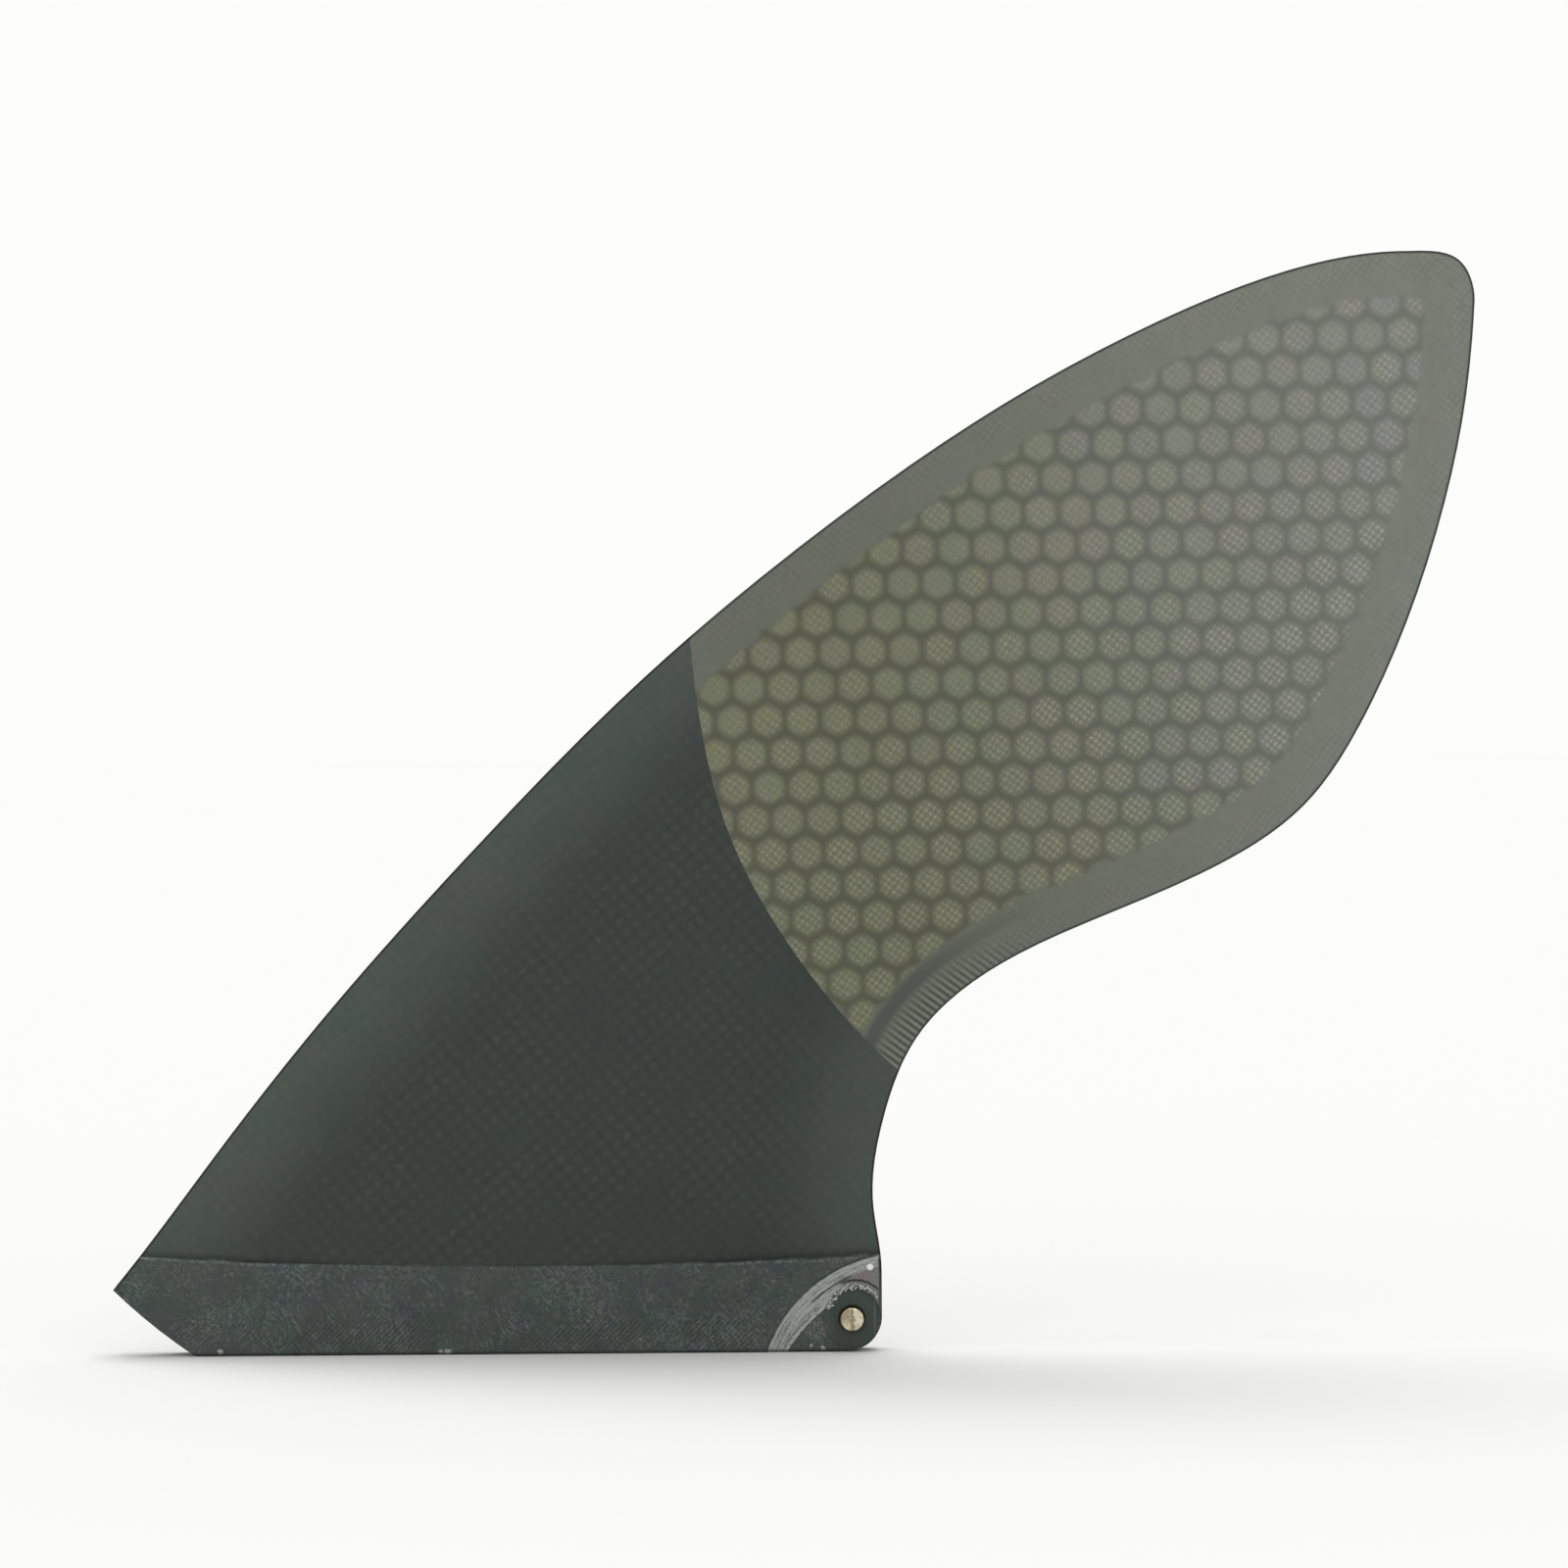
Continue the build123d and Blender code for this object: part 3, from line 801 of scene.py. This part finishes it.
def root_material(looks):
    """Dark plies with coarse cloth, a ground tab and the relief ground round the pin."""
    size = looks.root
    material, tree, shader = new_material("Dark Plies", 0.45, IOR=1.4, Specular_IOR_Level=0.4)
    at = tree.spot()
    at.level = tree.vector("MULTIPLY", at.flat, SQUARE)
    base, weave = ply_layer(tree, size, at)
    base, tab = tab_layer(tree, size, at, base)
    base, streaks = relief_layer(tree, looks, at, base)
    tree.put(shader["Base Color"], foot_layer(tree, size, at, base))
    tree.put(shader["Roughness"], tree.between(tab, 0.42, 0.72))
    height = tree.math("MULTIPLY_ADD", weave, 0.2, streaks)
    tree.put(shader["Normal"], tree.bump(height, 0.00006, 0.5))
    return material


# ---------------- small pieces' materials


def core_material(looks):
    """Matt web of the honeycomb sheet."""
    material, tree, shader = new_material("Core Web", 0.8)
    flat = tree.mapping(tree.position())
    web = linear(looks.glass.web_colour)[:3]
    tree.put(shader["Base Color"], tree.mottled(web, flat, (6.0, 0.4)))
    tree.put(shader["Normal"], tree.bump(tree.noise(flat, 3.0, 4.0)["Fac"], 0.00004, 0.6))
    return material


def brass_material(looks):
    """Worn brass in patches, with a clouded side and a brown stain across its end, and painted
    shade on the part inside the tab's hole.
    """
    size = looks.pin
    stain_tone = linear(size.stain_colour)
    material, tree, shader = new_material("Worn Brass", 0.34, Metallic=1.0)
    centre = (size.pin_x, 0, size.pin_z)
    flat = tree.mapping(tree.position(), centre, label="From the pin's centre")
    x, y, z = tree.split(flat)
    wobble = tree.math("MULTIPLY_ADD", tree.noise(flat, 0.7, 3.0)["Fac"], 2.4, -1.2)
    aside = tree.math("ADD", x, wobble)
    patches = tree.step(tree.noise(flat, 0.9, 3.0, 0.6)["Fac"], 0.42, 0.66)
    clouded = tree.both(tree.step(aside, 0.2, -0.9), tree.step(z, -2.2, 0.4))
    stain = tree.band(aside, 0.1, 0.15, 0.5)
    radius = tree.vector("LENGTH", tree.vector("MULTIPLY", flat, SQUARE))
    rim = tree.step(radius, 2.65, 2.9)
    base = linear(size.brass_colour)
    # Patches, the clouded side, the stain and a ring toward the end's rim are each darkened toward
    # the stain's colour
    for mask, share in ((patches, 0.4), (clouded, 0.62), (stain, 0.75), (rim, 0.5)):
        base = tree.cover(base, mask, stain_tone, share)
    # Painted shade on the pin inside the tab's hole, darkest inside and paler toward the hole's
    # wall
    grip = tree.step(tree.math("ABSOLUTE", y), 4.1, 3.96, "Grip in the tab")
    wall = tree.step(radius, 3.15, 3.3)
    gap = tree.mix(wall, linear(size.hollow_shade_colour), linear(size.hole_wall_shade_colour))
    tree.put(shader["Base Color"], tree.cover(base, grip, gap))
    tree.put(shader["Roughness"], tree.between(patches, 0.28, 0.52))
    tree.put(shader["Normal"], tree.bump(tree.noise(flat, 2.2, 4.0)["Fac"], 0.0001, 0.5))
    return material


def torn_material(looks):
    """Pale torn glass fibres."""
    material, tree, shader = new_material("Torn Fibres", 0.6)
    flat = tree.mapping(tree.position())
    fibre = tree.noise(tree.vector("MULTIPLY", flat, (1.0, 1.0, 3.0)), 1.6, 3.0, 0.6)["Fac"]
    base = tree.shade(linear(looks.heel.torn_colour)[:3], tree.between(fibre, 0.25, 1.2))
    tree.put(shader["Base Color"], base)
    tree.put(shader["Normal"], tree.bump(fibre, 0.0001, 0.8))
    return material


def drop_material(looks):
    """Milky hard resin."""
    material, tree, shader = new_material("Resin Drop", 0.3)
    cloud = tree.noise(tree.mapping(tree.position()), 1.4, 3.0)["Fac"]
    base = tree.shade(linear(looks.heel.drop_colour)[:3], tree.between(cloud, 0.7, 1.1))
    tree.put(shader["Base Color"], base)
    tree.put(shader["Roughness"], tree.between(cloud, 0.2, 0.45))
    return material


# ---------------- pieces


def only(piece):
    """Deselects everything, then selects this piece and makes it the active one."""
    bpy.ops.object.select_all(action="DESELECT")
    piece.select_set(True)
    bpy.context.view_layer.objects.active = piece


def copy_of(node, name, pitch=0):
    """A merged copy of a CAD node's mesh as a new piece, cut into a grid if a pitch is given."""
    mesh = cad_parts[node].data.copy()
    piece = bpy.data.objects.new(name, mesh)
    bpy.context.scene.collection.objects.link(piece)
    mesh.materials.clear()
    only(piece)
    bpy.ops.mesh.customdata_custom_splitnormals_clear()
    bpy.ops.object.mode_set(mode="EDIT")
    bpy.ops.mesh.select_all(action="SELECT")
    bpy.ops.mesh.remove_doubles(threshold=1e-6)
    if pitch:
        corners = np.array(piece.bound_box)
        for axis in (0, 2):
            normal = [float(step == axis) for step in range(3)]
            first, last = corners[:, axis].min() + pitch / 2, corners[:, axis].max()
            for place in np.arange(first, last, pitch):
                cut = [float(place) * one for one in normal]
                bpy.ops.mesh.select_all(action="SELECT")
                bpy.ops.mesh.bisect(plane_co=cut, plane_no=normal)
    bpy.ops.object.mode_set(mode="OBJECT")
    bpy.ops.object.shade_smooth_by_angle(angle=math.radians(25))
    return piece


def outline_chain():
    """Points round the blade's outline, up the leading edge and down the trailing edge."""
    ends = []
    for node in ("root_blade", "glass_skin_left"):
        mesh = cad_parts[node].data
        points = np.array([vertex.co for vertex in mesh.vertices])[:, [0, 2]]
        ends.append(points[np.array([edge.vertices for edge in mesh.edges])])
    ends = np.concatenate(ends)
    low, high = ends[..., 1].min(1), ends[..., 1].max(1)
    front, back = [], []
    for share in np.linspace(0, 1, 420)[1:-1]:
        level = high.max() * (1 - (1 - share) ** 2)
        first, second = ends[(low < level) & (high > level)].transpose(1, 0, 2)
        climb = (level - first[:, 1]) / (second[:, 1] - first[:, 1])
        crossed = first[:, 0] + climb * (second[:, 0] - first[:, 0])
        front.append((crossed.min(), level))
        back.append((crossed.max(), level))
    return np.array(front), np.array(back[::-1])


def measure_edges(piece):
    """Stores on each point how far the outline is, in millimetres, and if it is the aft one."""
    front, back = outline_chain()
    chain = np.concatenate([front, back])
    start, reach = chain[:-1], chain[1:] - chain[:-1]
    lengths = np.linalg.norm(reach, axis=1)
    points = np.array([vertex.co for vertex in piece.data.vertices])[:, [0, 2]]
    stored = {"rim": [], "aft": []}
    for point in points:
        share = np.clip(((point - start) * reach).sum(1) / lengths**2, 0, 1)
        away = np.linalg.norm(start + share[:, None] * reach - point, axis=1)
        nearest = away.argmin()
        stored["rim"].append(away[nearest] * 1000)
        stored["aft"].append(float(nearest >= len(front)))
    for name, values in stored.items():
        layer = piece.data.attributes.new(name, "FLOAT", "POINT")
        layer.data.foreach_set("value", np.array(values, np.float32))


def small_flake():
    """One rounded flake, a millimetre across, to be copied and then removed."""
    bpy.ops.object.select_all(action="DESELECT")
    bpy.ops.mesh.primitive_cube_add(size=0.001)
    bpy.ops.object.mode_set(mode="EDIT")
    bpy.ops.mesh.select_all(action="SELECT")
    bpy.ops.mesh.bevel(offset=0.00014, segments=2, affect="EDGES")
    bpy.ops.object.mode_set(mode="OBJECT")
    return bpy.context.active_object


def joined(pieces, name):
    """Several pieces as one, under a name."""
    bpy.ops.object.select_all(action="DESELECT")
    for piece in pieces:
        piece.select_set(True)
    bpy.context.view_layer.objects.active = pieces[0]
    bpy.ops.object.join()
    pieces[0].name = name
    return pieces[0]


class FIN_OT_effects(bpy.types.Operator):
    """Build the shared effects: cell lattice, cloth, sanding marks and mottle"""

    bl_idname = "fin.effects"
    bl_label = "Shared Effects"

    def execute(self, context):
        build_cell_lattice()
        build_cloth()
        build_marks()
        build_mottle()
        return {"FINISHED"}


class FIN_OT_glass_skins(bpy.types.Operator):
    """Dress the two glass faces of the upper blade"""

    bl_idname = "fin.glass_skins"
    bl_label = "Glass Skins"

    def execute(self, context):
        material = glass_material(context.scene.fin_looks)
        for side in ("left", "right"):
            piece = copy_of(f"glass_skin_{side}", f"glass_face_{side}", GRID_PITCH)
            measure_edges(piece)
            piece.data.materials.append(material)
            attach(piece, "root")
            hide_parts(f"glass_skin_{side}")
        return {"FINISHED"}


class FIN_OT_root(bpy.types.Operator):
    """Dress the dark root with its ground tab"""

    bl_idname = "fin.root"
    bl_label = "Dark Root"

    def execute(self, context):
        piece = copy_of("root_blade", "dark_root", GRID_PITCH)
        measure_edges(piece)
        piece.data.materials.append(root_material(context.scene.fin_looks))
        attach(piece, "root")
        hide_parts("root_blade")
        return {"FINISHED"}


class FIN_OT_core(bpy.types.Operator):
    """Finish the honeycomb sheet inside the blade"""

    bl_idname = "fin.core"
    bl_label = "Honeycomb Sheet"

    def execute(self, context):
        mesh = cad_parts["honeycomb_core"].data
        mesh.materials.clear()
        mesh.materials.append(core_material(context.scene.fin_looks))
        return {"FINISHED"}


class FIN_OT_pin(bpy.types.Operator):
    """Dress the brass cross pin"""

    bl_idname = "fin.pin"
    bl_label = "Cross Pin"

    def execute(self, context):
        piece = copy_of("cross_pin", "brass_pin")
        piece.data.materials.append(brass_material(context.scene.fin_looks))
        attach(piece, "root")
        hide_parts("cross_pin")
        return {"FINISHED"}


class FIN_OT_torn_plies(bpy.types.Operator):
    """Lay the torn glass fibres and the resin drop in the relief round the pin"""

    bl_idname = "fin.torn_plies"
    bl_label = "Torn Plies"

    def execute(self, context):
        looks = context.scene.fin_looks
        heel = looks.heel
        chance = random.Random(11)
        flake = small_flake()
        flakes = []
        for side in (-1, 1):
            for step in range(34):
                copied = bpy.data.objects.new("flake", flake.data.copy())
                context.scene.collection.objects.link(copied)
                turn = math.radians(170 - 4.0 * step + chance.uniform(-2, 2))
                ring = heel.torn_radius + chance.uniform(-0.0006, 0.0006)
                place = (
                    heel.torn_x + ring * math.cos(turn),
                    side * heel.torn_out,
                    heel.torn_z + ring * math.sin(turn),
                )
                lean = math.pi / 2 - turn + chance.uniform(-1.1, 1.1)
                tilt = chance.uniform(-0.3, 0.3)
                long, wide, thick = (
                    chance.uniform(*span) for span in ((0.5, 1.4), (0.4, 0.8), (0.15, 0.4))
                )
                copied.data.transform(
                    Matrix.Translation(place)
                    @ Matrix.Rotation(lean, 4, "Y")
                    @ Matrix.Rotation(tilt, 4, "X")
                    @ Matrix.Diagonal((long, wide, thick, 1))
                )
                flakes.append(copied)
        bpy.data.objects.remove(flake)
        torn = joined(flakes, "torn_plies")

        drops = []
        for side in (-1, 1):
            bpy.ops.object.select_all(action="DESELECT")
            bpy.ops.mesh.primitive_uv_sphere_add(
                segments=20, ring_count=12, radius=heel.drop_radius
            )
            ball = context.active_object
            place = Matrix.Translation((heel.drop_x, side * heel.drop_out, heel.drop_z))
            ball.data.transform(place @ Matrix.Diagonal((1, 0.35, 0.95, 1)))
            drops.append(ball)
        drop = joined(drops, "resin_drop")
        bpy.ops.object.shade_smooth()

        for piece, material in ((torn, torn_material(looks)), (drop, drop_material(looks))):
            piece.data.materials.append(material)
            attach(piece, "root")
        return {"FINISHED"}


class FIN_OT_stage(bpy.types.Operator):
    """Set out the pale floor, the soft light and the camera"""

    bl_idname = "fin.stage"
    bl_label = "Floor, Light and Camera"

    def execute(self, context):
        stage = context.scene.fin_looks.stage
        bpy.ops.object.select_all(action="DESELECT")
        bpy.ops.mesh.primitive_plane_add(size=6, location=(0, 0, -0.0003))
        floor = context.active_object
        floor.name = "floor"
        material, _, shader = new_material("Pale Floor", 0.9, Specular_IOR_Level=0.0)
        shader["Base Color"].default_value = linear(stage.floor_colour)
        floor.data.materials.append(material)

        world = bpy.data.worlds.new("Even Light")
        context.scene.world = world
        world.use_nodes = True
        sky = world.node_tree.nodes["Background"]
        sky.inputs["Color"].default_value = linear(stage.sky_colour)

        lamp = bpy.data.lights.new("high_light", "SUN")
        lamp.energy = stage.high_light
        lamp.angle = stage.high_spread
        light = bpy.data.objects.new("high_light", lamp)
        context.scene.collection.objects.link(light)
        light.location = (0, 1, 2)
        light.rotation_euler = (stage.high_climb - math.pi / 2, 0, 0)

        lens = bpy.data.cameras.new("view")
        lens.sensor_width = 36
        lens.lens = 36 * stage.view_distance / stage.view_width
        lens.clip_start, lens.clip_end = 0.05, 50
        camera = bpy.data.objects.new("view", lens)
        context.scene.collection.objects.link(camera)
        climb = Matrix.Rotation(math.pi / 2 - stage.view_climb, 4, "X")
        turn = climb @ Matrix.Rotation(stage.view_roll, 4, "Z")
        back = turn.to_3x3() @ Vector((0, 0, stage.view_distance))
        aim = Vector((stage.view_x, -0.004, stage.view_z))
        camera.matrix_world = Matrix.Translation(aim + back) @ turn
        context.scene.camera = camera
        context.scene.view_settings.view_transform = "Standard"
        return {"FINISHED"}


class FIN_PT_looks(bpy.types.Panel):
    """The fin's settings and steps"""

    bl_idname = "FIN_PT_looks"
    bl_label = "Centre Fin"
    bl_space_type = "VIEW_3D"
    bl_region_type = "UI"
    bl_category = "Fin"

    def draw(self, context):
        looks = context.scene.fin_looks
        for step in (FIN_OT_effects, FIN_OT_core):
            self.layout.operator(step.bl_idname)
        for title, settings, step in (
            ("Glass", looks.glass, FIN_OT_glass_skins),
            ("Root", looks.root, FIN_OT_root),
            ("Pin", looks.pin, FIN_OT_pin),
            ("Heel", looks.heel, FIN_OT_torn_plies),
            ("Stage", looks.stage, FIN_OT_stage),
        ):
            box = self.layout.box()
            box.label(text=title)
            for name in settings.bl_rna.properties.keys():
                if name not in ("rna_type", "name"):
                    box.prop(settings, name)
            box.operator(step.bl_idname)


CLASSES = (
    FinGlassSettings,
    FinRootSettings,
    FinHeelSettings,
    FinPinSettings,
    FinStageSettings,
    FinLooks,
    FIN_OT_effects,
    FIN_OT_glass_skins,
    FIN_OT_root,
    FIN_OT_core,
    FIN_OT_pin,
    FIN_OT_torn_plies,
    FIN_OT_stage,
    FIN_PT_looks,
)


def register():
    for kind in CLASSES:
        bpy.utils.register_class(kind)
    bpy.types.Scene.fin_looks = bpy.props.PointerProperty(type=FinLooks)


def unregister():
    del bpy.types.Scene.fin_looks
    for kind in reversed(CLASSES):
        bpy.utils.unregister_class(kind)


def main():
    """Registers the add-on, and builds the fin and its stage."""
    register()
    bpy.ops.fin.effects()
    bpy.ops.fin.glass_skins()
    bpy.ops.fin.root()
    bpy.ops.fin.core()
    bpy.ops.fin.pin()
    bpy.ops.fin.torn_plies()
    bpy.ops.fin.stage()


if __name__ == "__main__":
    main()
